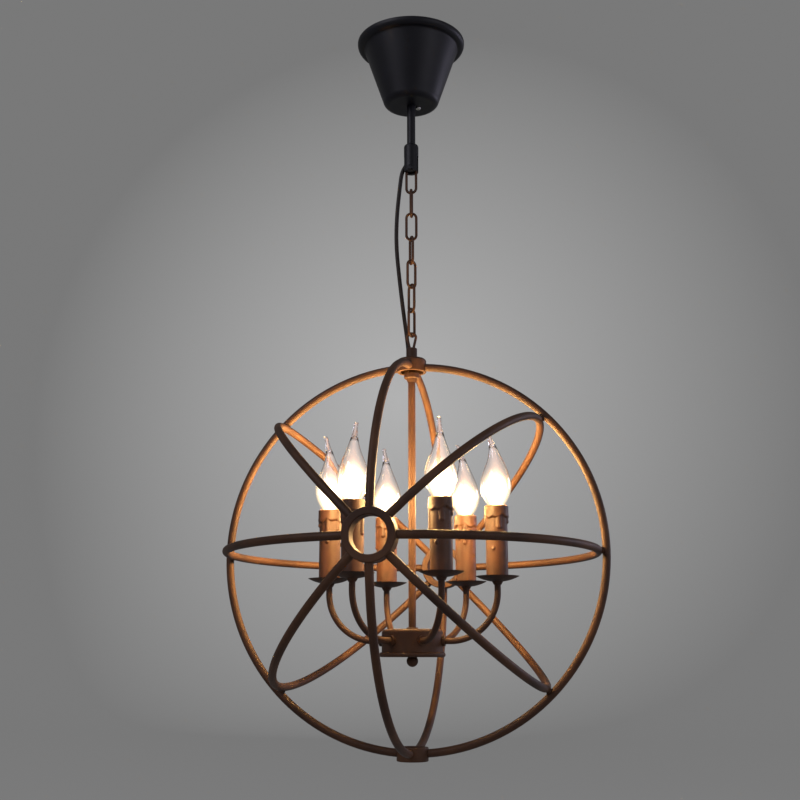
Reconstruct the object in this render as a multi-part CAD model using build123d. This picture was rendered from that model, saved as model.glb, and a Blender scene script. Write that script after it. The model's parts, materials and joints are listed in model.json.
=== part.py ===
from build123d import *
import os
from math import acos, atan2, cos, degrees, pi, radians, sin, sqrt, tan

# Orb chandelier on a chain. Millimetres, +Z up. The origin lies on the ceiling, in the axis of
# the stem, so everything hangs at negative Z. -Y is the front.

# Clearances
RUN = 0.3           # between pieces that move against each other
FIT = 0.15          # round a shank, nipple or tube that sits in a bore
TOUCH = 0.1         # between hoops that are tacked to each other where they cross

# Canopy: a spun steel cone that slides on the stem
CANOPY_RIM_D = 150.0
CANOPY_H = 95.0
CANOPY_FLANGE_H = 9.0   # rounded flange against the ceiling
CANOPY_LEDGE = 9.5      # flange's underside, from the rim in to the cone
CANOPY_DISC_D = 73.0    # cone's lower end, before its corner is rounded
CANOPY_NECK_R = 2.5     # inside corner between flange and cone
CANOPY_CORNER_R = 9.0
CANOPY_WALL = 1.0
BUSH_D = 34.0
BUSH_H = 12.0
SCREW_X = 9.0
SCREW_Y = 6.0
SCREW_HEAD_D = 7.0
SCREW_HEAD_H = 2.4
SCREW_D = 4.0

# Ceiling bracket: a strap bent down in the middle
STRAP_L = 118.0
STRAP_W = 22.0
STRAP_T = 2.0
STRAP_DROP = 14.0
STRAP_FLAT = 60.0
STRAP_RAMP = 8.0
MOUNT_SPACING = 94.0
MOUNT_HOLE_D = 5.0
NUT_AF = 17.0
NUT_H = 5.0
BLOCK_L = 20.0
BLOCK_W = 13.0
BLOCK_H = 13.0
BLOCK_POLES = 3
WIRE_HOLE_D = 3.6
CLAMP_HOLE_D = 3.2
CLAMP_HOLE_DEPTH = 3.0

# Stem and hanger
STEM_D = 11.5
STEM_BORE = 8.0
STEM_TOP = 5.0          # below the ceiling
STEM_SHOWN = 153.5      # from the ceiling down to the hanger's top
STEM_IN_HANGER = 11.0
HANGER_D = 20.0
HANGER_H = 41.1
HANGER_TOP_R = 4.0
BARREL_H = 18.0         # solid part above the slot
SLOT_W = 8.0
PIN_D = 4.0
PIN_FROM_END = 4.0      # pin axis above the hanger's lower end
PIN_HEAD_D = 7.0
PIN_HEAD_H = 2.0
PIN_SEAT_DEPTH = 0.8    # the head's spot face, below the hanger's round side
PIN_SEAT_GAP = 0.5      # spot face round the head
FLARE_H = 3.0           # bore's mouth above the slot, eased for the cord

# Chain
LINKS = 7
LINK_L = 41.5
LINK_W = 17.0
LINK_WIRE = 3.6
LINK_TURNS = (0, 95, 11, 118, 51, 134, 67)   # each link's plane about Z, from the X axis

# Loop on top of the orb
EYE_WIRE = 3.5
EYE_W = 15.0
EYE_H = 22.2            # from the eye's top to the neck's shoulder
EYE_FOOT_X = 2.2        # where each end of the rod meets the neck
NECK_D = 14.5
NECK_H = 12.2
FLANGE_D = 18.0
FLANGE_H = 2.8
SHANK_D = 9.6
LOCKNUT_AF = 14.0
LOCKNUT_H = 4.0

# Cage of six hoops of round tube, between four collars
TUBE_D = 10.0
FRONTAL_R = 245.0       # hoop that faces the front, to the tube's axis
TOP_COLLAR_D = 38.5
TOP_COLLAR_H = 18.5
TOP_COLLAR_RISE = 11.7  # collar's top above the frontal hoop's axis
TOP_COLLAR_SHOULDER_R = 4.0
TOP_COLLAR_PLATE = 4.0
COLLAR_WALL = 4.0
LOW_COLLAR_D = 39.5
LOW_COLLAR_H = 17.0
LOW_COLLAR_DROP = 9.0   # collar's lower end below the frontal hoop's axis
SIDE_COLLAR_D = 61.0
SIDE_COLLAR_BORE = 43.0
SIDE_COLLAR_H = 20.0
SIDE_COLLAR_PROUD = 6.1  # collar's face outside the inner hoops' axis
COLLAR_EDGE_R = 1.5
COPE_L = 80.0           # length of the cutters that cope the hoops' ends

# Column, hub and finial; heights are from the cage's centre
COLUMN_D = 9.5
COLUMN_BORE = 6.5
COUPLING_D = 20.0
COUPLING_H = 8.0
COUPLING_GAP = 0.4      # under the top collar's lower end
COUPLING_CONE_D = 14.5
COUPLING_CONE_END_D = 10.6
COUPLING_CONE_H = 5.0
HUB_D = 77.0
HUB_TOP = -95.0
HUB_H = 30.0
HUB_NECK_D = 15.0       # raised ring round the column
HUB_NECK_H = 2.5
HUB_EDGE_R = 4.0
HUB_WALL = 1.5
HUB_BOSS_D = 18.0
HUB_BOSS_H = 8.0
COVER_REACH = 3.25      # rim beyond the hub's side
COVER_RIM = 6.0
COVER_BOTTOM = -129.0
COVER_WALL = 1.5
FINIAL_D = 14.5
FINIAL_SINK = 2.5       # ball's top above the cover's lower face

# Arms and candles
ARMS = 6
ARM_D = 8.0
ARM_BORE = 6.0
ARM_Z = -109.3
ARM_REACH = 109.0
ARM_BEND_R = 60.0
ARM_INSIDE = 4.0        # arm's end beyond the hub's wall
BOSS_D = 13.0
BOSS_L = 3.5
DISH_D = 55.0
DISH_DEPTH = 7.0
DISH_RIM = -30.0
DISH_WALL = 1.2         # in the middle; it thins to the rim
DISH_EDGE = 0.5
SEAT_D = 14.0
SEAT_END_D = 9.6
SEAT_H = 4.0
SLEEVE_D = 27.5
SLEEVE_BORE = 24.5
SLEEVE_TOP = 58.5
HOLDER_D = 23.6
HOLDER_CUP_H = 34.0
HOLDER_BELOW = 10.0     # holder's top below the sleeve's top
HOLDER_STEM_D = 13.0
HOLDER_FOOT_D = 22.0
HOLDER_FOOT_H = 2.5
HOLDER_BORE = 14.7
CAP_D = 13.9
CAP_L = 22.0
CAP_TIP_D = 6.0
CAP_TIP_L = 3.0

# Bulbs: bent-tip flame, clear glass; heights are above the sleeve's top
BULB_NECK_D = 20.6       # at the sleeve's top
BULB_MAX_D = 39.6
BULB_MAX_UP = 25.0
BULB_TAPER_D = 24.0
BULB_TAPER_UP = 51.0
BULB_SHOULDER_D = 11.0
BULB_SHOULDER_UP = 71.0
BULB_TIP_D = 5.2
BULB_TIP_UP = 95.5
BULB_BEAD_D = 5.8        # where the drawn tip was melted off
BULB_LEAN = 8.0          # tip's offset to one side
BULB_TURNS = (180, 180, 135, 215, 75, 265)   # where each tip leans, about Z
GLASS_WALL = 0.8

# Supply cord beside the chain: its route from the hanger into the top collar, by hand
CORD_D = 5.5
CORD_ROUTE = (
    (0.0, 0.0, -158.0), (0.0, 0.0, -175.5), (-12.9, 0.0, -189.5), (-16.1, -0.3, -216.0),
    (-20.4, -0.2, -258.0), (-21.2, 0.3, -300.0), (-17.3, 2.2, -345.0), (-12.2, 5.6, -394.0),
    (-8.0, 9.4, -429.0), (-6.2, 10.4, -449.0), (-6.2, 10.4, -467.5),
)
CORD_HOLE_D = CORD_D + 2 * RUN

# Sizes and heights that follow
CANOPY_CONE_D = CANOPY_RIM_D - 2 * CANOPY_LEDGE
CANOPY_SHOULDER_R = CANOPY_LEDGE - CANOPY_NECK_R
STRAP_Z = -STRAP_DROP
HANGER_TOP = -STEM_SHOWN
HANGER_END = HANGER_TOP - HANGER_H
PIN_Z = HANGER_END + PIN_FROM_END
PIN_SEAT = HANGER_D / 2 - PIN_SEAT_DEPTH
LINK_PITCH = LINK_L - 2 * LINK_WIRE - RUN
LINK_1_TOP = PIN_Z + PIN_D / 2 + RUN + LINK_WIRE
CHAIN_END = LINK_1_TOP - (LINKS - 1) * LINK_PITCH - LINK_L
EYE_TOP = CHAIN_END + LINK_WIRE + RUN + EYE_WIRE
NECK_TOP = EYE_TOP - EYE_H
COLLAR_TOP = NECK_TOP - NECK_H - FLANGE_H
CENTRE_Z = COLLAR_TOP - TOP_COLLAR_RISE - FRONTAL_R
INNER_R = FRONTAL_R - TUBE_D - TOUCH
LIFT = FRONTAL_R - INNER_R   # the upright quarter hoops are lifted or lowered by this
COUPLING_TOP = COLLAR_TOP - TOP_COLLAR_H - COUPLING_GAP
COVER_D = HUB_D + 2 * COVER_REACH
HOLDER_TOP = SLEEVE_TOP - HOLDER_BELOW


def bowl_height(depth, rim_r, radius):
    """Height of a bowl's round floor at a radius, from the cage's centre."""
    bend = (rim_r ** 2 + depth ** 2) / (2 * depth)
    return DISH_RIM - depth + bend - sqrt(bend ** 2 - radius ** 2)


# Heights of what stands in the drip dishes and what carries them
DISH_INNER_R = DISH_D / 2 - DISH_EDGE
DISH_FOOT = bowl_height(DISH_DEPTH, DISH_D / 2, SEAT_D / 2)
SLEEVE_FOOT = bowl_height(DISH_DEPTH - DISH_WALL, DISH_INNER_R, SLEEVE_D / 2) + TOUCH
HOLDER_FOOT = bowl_height(DISH_DEPTH - DISH_WALL, DISH_INNER_R, HOLDER_FOOT_D / 2) + TOUCH


def turned(*points):
    """Solid of revolution about Z from a half-section of (radius, height, corner radius)."""
    face = make_face(Polyline(*[(x, z) for x, z, _ in points], close=True))
    for x, z, r in points:
        if r:
            face = fillet(face.vertices().sort_by_distance((x, z, 0))[0], r)
    return revolve(Plane.XZ * face, Axis.Z)


def pipe(outer_d, inner_d, low, high):
    """Upright round tube between two heights."""
    length = high - low
    tube = Cylinder(outer_d / 2, length) - Cylinder(inner_d / 2, length)
    return Pos(0, 0, (low + high) / 2) * tube


def hole(diameter, low, high, x=0.0, y=0.0):
    """Upright cutter between two heights."""
    return Pos(x, y, (low + high) / 2) * Cylinder(diameter / 2, high - low)


def hex_nut(across_flats, bore, low, high):
    body = extrude(RegularPolygon(across_flats / 2, 6, major_radius=False), high - low)
    return Pos(0, 0, low) * body - hole(bore, low - 1, high + 1)


def around(shape, count=ARMS):
    """The shape repeated about Z."""
    return [Rot(0, 0, 360 * k / count) * shape for k in range(count)]


# --- Ceiling ---------------------------------------------------------------------------------

def ceiling_bracket():
    end, flat, foot = STRAP_L / 2, STRAP_FLAT / 2, STRAP_FLAT / 2 + STRAP_RAMP
    top = [(-end, 0), (-foot, 0), (-flat, STRAP_Z), (flat, STRAP_Z), (foot, 0), (end, 0)]
    skew = STRAP_T * tan(atan2(STRAP_DROP, STRAP_RAMP) / 2)
    low = [(end, -STRAP_T), (foot + skew, -STRAP_T), (flat + skew, STRAP_Z - STRAP_T)]
    low += [(-x, z) for x, z in reversed(low)]
    section = Plane.XZ * make_face(Polyline(*top, *low, close=True))
    strap = extrude(section, STRAP_W / 2, both=True)
    strap -= hole(STEM_D + 2 * FIT, STRAP_Z - 5, STRAP_Z + 5)
    for x in (-MOUNT_SPACING / 2, MOUNT_SPACING / 2):
        strap -= hole(MOUNT_HOLE_D, -5, 5, x)
    return strap


def terminal_block():
    pole = Box(BLOCK_L / BLOCK_POLES, BLOCK_W, BLOCK_H)
    pole = chamfer(pole.edges().filter_by(Axis.Y), 1.0)
    pole -= Rot(90, 0, 0) * Cylinder(WIRE_HOLE_D / 2, BLOCK_W + 2)
    pole -= Pos(0, 0, -BLOCK_H / 2) * Cylinder(CLAMP_HOLE_D / 2, 2 * CLAMP_HOLE_DEPTH)
    row = pole
    for k in range(1, BLOCK_POLES):
        row += Pos(k * BLOCK_L / BLOCK_POLES, 0, 0) * pole
    row = Pos(-(BLOCK_POLES - 1) * BLOCK_L / BLOCK_POLES / 2, 0, 0) * row
    x = (STRAP_FLAT / 2 + NUT_AF / 2 + 1) / 2 + 1
    return Pos(x, 0, STRAP_Z - STRAP_T - BLOCK_H / 2) * Rot(0, 0, 90) * row


def canopy_profile(inset):
    """Flange and cone; with an inset, the hollow inside them."""
    rim, cone, disc = [d / 2 - inset for d in (CANOPY_RIM_D, CANOPY_CONE_D, CANOPY_DISC_D)]
    under, low = inset - CANOPY_FLANGE_H, inset - CANOPY_H
    return turned((0, 0, 0), (rim, 0, 0), (rim, under, CANOPY_SHOULDER_R - inset),
                  (cone, under, CANOPY_NECK_R + inset), (disc, low, CANOPY_CORNER_R - inset),
                  (0, low, 0))


def canopy():
    shell = canopy_profile(0) - canopy_profile(CANOPY_WALL)
    shell -= hole(STEM_D + 2 * RUN, -CANOPY_H - 5, -CANOPY_H + 5)
    return shell - hole(SCREW_D + 2 * FIT, -CANOPY_H - 5, -CANOPY_H + 5, SCREW_X, SCREW_Y)


def canopy_bush():
    low = -CANOPY_H + CANOPY_WALL
    bush = turned((STEM_D / 2 + RUN, low, 0), (BUSH_D / 2, low, 0),
                  (BUSH_D / 2, low + BUSH_H, 1.5), (STEM_D / 2 + RUN, low + BUSH_H, 0))
    return bush - hole(SCREW_D, low - 1, low + BUSH_H - 3, SCREW_X, SCREW_Y)


def canopy_screw():
    head = turned((0, -CANOPY_H, 0), (SCREW_HEAD_D / 2, -CANOPY_H, 0),
                  (SCREW_HEAD_D / 2, -CANOPY_H - SCREW_HEAD_H, 1.2),
                  (0, -CANOPY_H - SCREW_HEAD_H, 0))
    shank = hole(SCREW_D, -CANOPY_H, -CANOPY_H + BUSH_H - 2.5)
    cross = Box(SCREW_HEAD_D * 0.55, 0.9, 2) + Box(0.9, SCREW_HEAD_D * 0.55, 2)
    screw = head + shank - Pos(0, 0, -CANOPY_H - SCREW_HEAD_H) * cross
    return Pos(SCREW_X, SCREW_Y, 0) * screw


def stem():
    return pipe(STEM_D, STEM_BORE, HANGER_TOP - STEM_IN_HANGER, -STEM_TOP)


def stem_nuts():
    bore = STEM_D + 2 * FIT
    over = hex_nut(NUT_AF, bore, STRAP_Z, STRAP_Z + NUT_H)
    under = hex_nut(NUT_AF, bore, STRAP_Z - STRAP_T - NUT_H, STRAP_Z - STRAP_T)
    return [over, under]


def hanger():
    body = turned((0, HANGER_END, 0), (HANGER_D / 2, HANGER_END, 1.0),
                  (HANGER_D / 2, HANGER_TOP, HANGER_TOP_R), (0, HANGER_TOP, 0))
    roof = HANGER_TOP - BARREL_H
    slot = Pos(0, 0, (roof + HANGER_END - 5) / 2)
    body -= slot * Box(HANGER_D + 2, SLOT_W, roof - HANGER_END + 5)
    body -= hole(STEM_D + 2 * FIT, HANGER_TOP - STEM_IN_HANGER, HANGER_TOP + 1)
    body -= hole(STEM_BORE, roof - 1, HANGER_TOP)
    flare = Pos(0, 0, roof + FLARE_H / 2) * Cone(STEM_BORE / 2 + FLARE_H, STEM_BORE / 2, FLARE_H)
    body -= flare
    across = Pos(0, 0, PIN_Z) * Rot(90, 0, 0)
    for side in (-1, 1):
        spot_face = Cylinder(PIN_HEAD_D / 2 + PIN_SEAT_GAP, 2 * PIN_HEAD_H)
        body -= across * Pos(0, 0, side * (PIN_SEAT + PIN_HEAD_H)) * spot_face
    return body - across * Cylinder(PIN_D / 2 + FIT, HANGER_D + 2)


def hanger_pin():
    """Screw through both cheeks, its domed head in a spot face in front."""
    seat = PIN_SEAT
    pin = turned((0, -seat, 0), (PIN_D / 2, -seat, 0), (PIN_D / 2, seat, 0),
                 (PIN_HEAD_D / 2, seat, 0), (PIN_HEAD_D / 2, seat + PIN_HEAD_H, 1.6),
                 (0, seat + PIN_HEAD_H, 0))
    return Pos(0, 0, PIN_Z) * Rot(90, 0, 0) * pin


# --- Chain and loop --------------------------------------------------------------------------

def chain_link(number):
    """Oval of round wire; its straight sides and half-round ends are swept in one go."""
    bend = (LINK_W - LINK_WIRE) / 2
    side = (LINK_L - LINK_W) / 2
    route = Polyline((bend, -side), (bend, side))
    route += CenterArc((0, side), bend, 0, 180)
    route += Polyline((-bend, side), (-bend, -side))
    route += CenterArc((0, -side), bend, 180, 180)
    wire = sweep(Plane.XZ.offset(side) * Pos(bend, 0) * Circle(LINK_WIRE / 2), path=route)
    top = LINK_1_TOP - number * LINK_PITCH
    upright = Pos(0, 0, top - LINK_L / 2) * Rot(0, 0, LINK_TURNS[number]) * Rot(90, 0, 0)
    return upright * wire


def orb_loop():
    """Eye of bent rod on a turned neck, with a flange and a threaded shank for the collar."""
    bend = (EYE_W - EYE_WIRE) / 2
    crown = EYE_TOP - EYE_WIRE / 2 - bend
    foot_z = NECK_TOP - EYE_WIRE / 2 - crown
    reach = sqrt(EYE_FOOT_X ** 2 + foot_z ** 2)
    # The straight sides leave the crown's arc at its tangent from the foot.
    start = degrees(atan2(foot_z, EYE_FOOT_X) + acos(bend / reach))
    span = 180 - 2 * start
    arc = CenterArc((0, 0), bend, start, span)
    right = Polyline((EYE_FOOT_X, foot_z), arc @ 0)
    left = Polyline(arc @ 1, (-EYE_FOOT_X, foot_z))
    section = Plane(origin=right @ 0, z_dir=right % 0) * Circle(EYE_WIRE / 2)
    eye = Pos(0, 0, crown) * Rot(90, 0, 0) * sweep(section, path=right + arc + left)
    end = COUPLING_TOP - COUPLING_H / 2
    base = turned((0, NECK_TOP, 0), (NECK_D / 2, NECK_TOP, 1.5),
                  (NECK_D / 2, NECK_TOP - NECK_H, 0), (FLANGE_D / 2, COLLAR_TOP, 0),
                  (SHANK_D / 2, COLLAR_TOP, 0), (SHANK_D / 2, end, 0), (0, end, 0))
    return eye + base


def loop_locknut():
    high = COLLAR_TOP - TOP_COLLAR_PLATE
    return hex_nut(LOCKNUT_AF, SHANK_D + 2 * FIT, high - LOCKNUT_H, high)


# --- Cage ------------------------------------------------------------------------------------

def top_collar():
    r, low, plate = TOP_COLLAR_D / 2, COLLAR_TOP - TOP_COLLAR_H, COLLAR_TOP - TOP_COLLAR_PLATE
    cap = turned((SHANK_D / 2 + FIT, COLLAR_TOP, 0), (r, COLLAR_TOP, TOP_COLLAR_SHOULDER_R),
                 (r, low, 1.0), (r - COLLAR_WALL, low, 1.0), (r - COLLAR_WALL, plate, 0),
                 (SHANK_D / 2 + FIT, plate, 0))
    x, y, _ = CORD_ROUTE[-1]
    return cap - hole(CORD_HOLE_D, plate - 2, COLLAR_TOP + 2, x, y)


def ring_collar(outer_d, bore_d, depth):
    """Open collar about Z with softened edges, centred on the origin."""
    rims = [(bore_d / 2, -depth / 2), (outer_d / 2, -depth / 2),
            (outer_d / 2, depth / 2), (bore_d / 2, depth / 2)]
    return turned(*[(x, z, COLLAR_EDGE_R) for x, z in rims])


def bottom_collar():
    z = CENTRE_Z - FRONTAL_R - LOW_COLLAR_DROP + LOW_COLLAR_H / 2
    return Pos(0, 0, z) * ring_collar(LOW_COLLAR_D, LOW_COLLAR_D - 2 * COLLAR_WALL, LOW_COLLAR_H)


def side_collar(side):
    """Front (-1) or back (1) collar, its bore along Y."""
    y = side * (INNER_R + SIDE_COLLAR_PROUD - SIDE_COLLAR_H / 2)
    ring = ring_collar(SIDE_COLLAR_D, SIDE_COLLAR_BORE, SIDE_COLLAR_H)
    return Pos(0, y, CENTRE_Z) * Rot(90, 0, 0) * ring


def collar_seats():
    """What the hoops' ends are coped to: the four collars, filled, longer than they are."""
    pole = Pos(0, 0, CENTRE_Z + FRONTAL_R) * Cylinder(TOP_COLLAR_D / 2, COPE_L)
    foot = Pos(0, 0, CENTRE_Z - FRONTAL_R) * Cylinder(LOW_COLLAR_D / 2, COPE_L)
    across = Rot(90, 0, 0) * Cylinder(SIDE_COLLAR_D / 2, COPE_L)
    sides = [Pos(0, side * INNER_R, CENTRE_Z) * across for side in (-1, 1)]
    return [pole, foot, *sides]


def hoop(radius, start, turn, plane_turn, rise=0.0):
    """Arc of round tube, coped to the collars that it ends on."""
    section = Plane.XZ * Pos(radius, 0) * Circle(TUBE_D / 2)
    arc = Rot(0, 0, start) * revolve(section, Axis.Z, revolution_arc=turn)
    arc = Pos(0, 0, CENTRE_Z + rise) * plane_turn * arc
    for seat in collar_seats():
        arc -= seat
    return arc.solids().sort_by(SortBy.VOLUME)[-1]


def frontal_hoop(side):
    start = -90 if side > 0 else 90
    return hoop(FRONTAL_R, start, 180, Rot(90, 0, 0))


def horizontal_hoop(side):
    start = -90 if side > 0 else 90
    return hoop(INNER_R, start, 180, Rot(0, 0, 0))


def diagonal_hoops(lean):
    """Both halves of the hoop that leans by this many degrees about Y."""
    return [hoop(INNER_R, start, 180, Rot(0, lean, 0)) for start in (-90, 90)]


def vertical_hoops(side):
    """Upper and lower quarter, front (-1) or back (1)."""
    upright = Rot(0, 0, 90 * side) * Rot(90, 0, 0)
    return [hoop(INNER_R, 0, 90, upright, LIFT), hoop(INNER_R, -90, 90, upright, -LIFT)]


# --- Column and hub --------------------------------------------------------------------------

def column_nut():
    top, low = COUPLING_TOP, COUPLING_TOP - COUPLING_H
    end, bore = low - COUPLING_CONE_H, SHANK_D / 2 + FIT
    return turned((bore, top, 0), (COUPLING_D / 2, top, 1.5), (COUPLING_D / 2, low, 1.5),
                  (COUPLING_CONE_D / 2, low, 0), (COUPLING_CONE_END_D / 2, end, 0),
                  (bore, end, 0))


def column():
    high = COUPLING_TOP - COUPLING_H / 2
    low = CENTRE_Z + COVER_BOTTOM - FINIAL_D / 4
    return pipe(COLUMN_D, COLUMN_BORE, low, high)


def hub_shell():
    top, low, r = CENTRE_Z + HUB_TOP, CENTRE_Z + HUB_TOP - HUB_H, HUB_D / 2
    bore, neck = COLUMN_D / 2 + FIT, HUB_NECK_D / 2
    shell = turned((bore, top + HUB_NECK_H, 0), (neck, top + HUB_NECK_H, 0.8), (neck, top, 0),
                   (r, top, HUB_EDGE_R), (r, low, 0), (r - HUB_WALL, low, 0),
                   (r - HUB_WALL, top - HUB_WALL, HUB_EDGE_R - HUB_WALL),
                   (HUB_BOSS_D / 2, top - HUB_WALL, 0), (HUB_BOSS_D / 2, top - HUB_BOSS_H, 0),
                   (bore, top - HUB_BOSS_H, 0))
    for cut in around(arm_line(HUB_D / 2, ARM_D + 2 * FIT)):
        shell -= cut
    return shell


def arm_line(middle, diameter, length=2 * BOSS_D):
    """Round bar along an arm's first run, centred this far from the axis."""
    return Pos(middle, 0, CENTRE_Z + ARM_Z) * Rot(0, 90, 0) * Cylinder(diameter / 2, length)


def hub_cover():
    """Pan with a rolled rim, which closes the hub from below."""
    low, rim, seat = CENTRE_Z + COVER_BOTTOM, COVER_RIM / 2, CENTRE_Z + HUB_TOP - HUB_H
    pan = turned((COLUMN_D / 2 + FIT, low, 0), (COVER_D / 2 - rim, low, 0),
                 (COVER_D / 2 - rim, low + COVER_WALL, 0),
                 (COLUMN_D / 2 + FIT, low + COVER_WALL, 0))
    roll = Pos(0, 0, low + rim) * Torus(COVER_D / 2 - rim, rim)
    step = hole(HUB_D + 2 * FIT, seat, seat + COVER_RIM)
    return pan + roll - step - hole(HUB_D - 2 * HUB_WALL, low + COVER_WALL, seat + COVER_RIM)


def finial():
    top, r = CENTRE_Z + COVER_BOTTOM, FINIAL_D / 2
    ball = Pos(0, 0, top - r + FINIAL_SINK) * Sphere(r)
    ball -= hole(FINIAL_D * 2, top, top + FINIAL_D)
    return ball - hole(COLUMN_D + 2 * FIT, top - FINIAL_D / 4 - FIT, top + 1)


# --- Arms and candles ------------------------------------------------------------------------

def arm():
    """Tube that leaves the hub level, bends up and ends under its dish."""
    inner, top = HUB_D / 2 - HUB_WALL - ARM_INSIDE, CENTRE_Z + DISH_FOOT
    level = CENTRE_Z + ARM_Z
    line = Plane.XZ * Polyline((inner, level), (ARM_REACH - ARM_BEND_R, level))
    bend = Plane.XZ * CenterArc((ARM_REACH - ARM_BEND_R, level + ARM_BEND_R), ARM_BEND_R, -90, 90)
    rise = Plane.XZ * Polyline((ARM_REACH, level + ARM_BEND_R), (ARM_REACH, top))
    ring = Circle(ARM_D / 2) - Circle(ARM_BORE / 2)
    return sweep(Plane(origin=line @ 0, z_dir=line % 0) * ring, path=line + bend + rise)


def arm_bosses():
    root = HUB_D / 2
    ring = arm_line(root + BOSS_L / 2, BOSS_D, BOSS_L) - arm_line(root, ARM_D + 2 * FIT)
    ring -= hole(HUB_D, CENTRE_Z + ARM_Z - BOSS_D, CENTRE_Z + ARM_Z + BOSS_D)
    return around(ring)


def at_cup(shape):
    return around(Pos(ARM_REACH, 0, CENTRE_Z) * shape)


def cup_seat():
    bore = ARM_D / 2 + FIT
    return turned((bore, DISH_FOOT, 0), (SEAT_D / 2, DISH_FOOT, 0),
                  (SEAT_END_D / 2, DISH_FOOT - SEAT_H, 0), (bore, DISH_FOOT - SEAT_H, 0))


def bowl(depth, rim_r):
    """Filled cap of a sphere below the dish's rim."""
    bend = (rim_r ** 2 + depth ** 2) / (2 * depth)
    ball = Pos(0, 0, DISH_RIM - depth + bend) * Sphere(bend)
    return ball & hole(3 * rim_r, DISH_RIM - depth - 1, DISH_RIM)


def bobeche():
    """Shallow spun bowl that thins to its rim, with a small flat foot on the arm's seat."""
    shell = bowl(DISH_DEPTH, DISH_D / 2) - bowl(DISH_DEPTH - DISH_WALL, DISH_INNER_R)
    shell -= hole(DISH_D, DISH_RIM - DISH_DEPTH - 1, DISH_FOOT)
    return shell - hole(ARM_BORE, DISH_RIM - DISH_DEPTH - 1, DISH_RIM)


def candle_sleeve():
    return turned((SLEEVE_BORE / 2, SLEEVE_FOOT, 0), (SLEEVE_D / 2, SLEEVE_FOOT, 0),
                  (SLEEVE_D / 2, SLEEVE_TOP, 1.0), (SLEEVE_BORE / 2, SLEEVE_TOP, 0))


def lampholder():
    """Foot, stem and socket cup, open at the top for the bulb's cap."""
    low, cup = HOLDER_FOOT, HOLDER_TOP - HOLDER_CUP_H
    deep = HOLDER_TOP - CAP_L - CAP_TIP_L - 1
    return turned((0, low, 0), (HOLDER_FOOT_D / 2, low, 0),
                  (HOLDER_FOOT_D / 2, low + HOLDER_FOOT_H, 0),
                  (HOLDER_STEM_D / 2, low + HOLDER_FOOT_H, 0), (HOLDER_STEM_D / 2, cup, 0),
                  (HOLDER_D / 2, cup, 2), (HOLDER_D / 2, HOLDER_TOP, 1),
                  (HOLDER_BORE / 2, HOLDER_TOP, 0), (HOLDER_BORE / 2, deep, 0), (0, deep, 0))


def bulb_cap():
    """Screw cap with its insulator and the contact at its foot."""
    top, low = HOLDER_TOP, HOLDER_TOP - CAP_L
    return turned((0, top, 0), (CAP_D / 2, top, 0), (CAP_D / 2, low + 3, 0),
                  (CAP_TIP_D / 2, low, 0), (CAP_TIP_D / 2, low - CAP_TIP_L + 0.5, 0),
                  (0, low - CAP_TIP_L + 0.5, 0))


def bulb_shape(inset):
    """Round sections on a line that bends over towards the tip."""
    foot = HOLDER_TOP - SLEEVE_TOP + inset
    stations = [
        (CAP_D, foot, 0), (BULB_NECK_D, 0, 0), (BULB_MAX_D, BULB_MAX_UP, 0),
        (BULB_TAPER_D, BULB_TAPER_UP, 0.05), (BULB_SHOULDER_D, BULB_SHOULDER_UP, 0.35),
        (BULB_TIP_D, BULB_TIP_UP - inset, 1),
    ]
    rings = [Pos(lean * BULB_LEAN, 0, SLEEVE_TOP + up) * Circle(d / 2 - inset)
             for d, up, lean in stations]
    return loft(rings)


def bulb_glass():
    bead = Pos(BULB_LEAN, 0, SLEEVE_TOP + BULB_TIP_UP) * Sphere(BULB_BEAD_D / 2)
    return bulb_shape(0) + bead - bulb_shape(GLASS_WALL)


# --- Supply cord -----------------------------------------------------------------------------

def cord_radii():
    """Each corner's radius: 0.45 of its shorter run over the tangent of half its turn."""
    points = [Vector(*p) for p in CORD_ROUTE]
    runs = [b - a for a, b in zip(points, points[1:])]
    radii = []
    for first, second in zip(runs, runs[1:]):
        shorter = min(first.length, second.length)
        half_turn = radians(first.get_angle(second) / 2)
        radii.append(0.45 * shorter / tan(half_turn))
    return radii


def flex_cord():
    radii = cord_radii()
    route = FilletPolyline(*CORD_ROUTE, radius=radii)
    section = Plane(origin=route @ 0, z_dir=route % 0) * Circle(CORD_D / 2)
    tube = sweep(section, path=route)
    print("cord radii", [round(r, 1) for r in radii], "length", round(route.length, 1),
          "volume / section x length", round(tube.volume / (pi * CORD_D ** 2 / 4
                                                    * route.length), 5))
    return tube


# --- All nodes -------------------------------------------------------------------------------

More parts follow.
